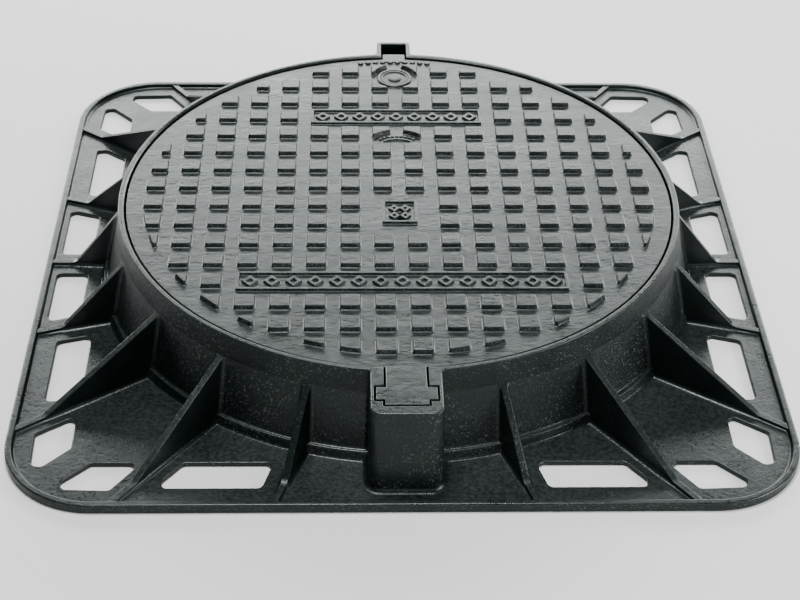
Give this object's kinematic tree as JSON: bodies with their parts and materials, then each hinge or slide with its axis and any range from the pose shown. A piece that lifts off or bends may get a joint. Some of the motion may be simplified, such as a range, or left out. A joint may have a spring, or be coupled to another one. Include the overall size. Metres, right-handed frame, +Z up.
{
  "type": "manhole cover",
  "caption": "Round studded manhole cover hinged in a square ribbed cast-iron frame with a slotted flange, a sealing ring and a quarter-turn lock.",
  "frame": {"origin": "centre of the square frame on its underside", "axes": "+Z up, towards the road surface; +Y from the hinge towards the lifting pocket; +X to the right seen from the hinge side"},
  "size_m": [0.85, 0.85, 0.1125],
  "materials": {
    "iron": "black bitumen paint, semi-gloss, over a sand-cast surface",
    "rubber": "matt moulded rubber",
    "cap_plastic": "fine matt moulded plastic",
    "steel": "zinc plated"
  },
  "bodies": {
    "frame": {"frame": "iron", "seat_gasket": "rubber"},
    "cover": {"cover": "iron", "lock_seal": "rubber"},
    "lock": {"lock_spindle": "steel", "lock_latch": "steel", "lock_washer": "steel", "lock_nut": "steel"},
    "cap": {"lock_cap": "cap_plastic"}
  },
  "joints": [
    {"name": "cover_hinge", "type": "hinge", "parent": "frame", "child": "cover", "pos_m": [0, -0.3646, 0.106], "axis": [1, 0, 0], "range_deg": [0, 110]},
    {"name": "lock_turn", "type": "hinge", "parent": "cover", "child": "lock", "pos_m": [0, 0.26845, 0.05], "axis": [0, 0, 1], "range_deg": [0, 90]},
    {"name": "lock_cap_lift", "type": "slide", "parent": "cover", "child": "cap", "axis": [0, 0, 1], "range_m": [0, 0.03]}
  ]
}
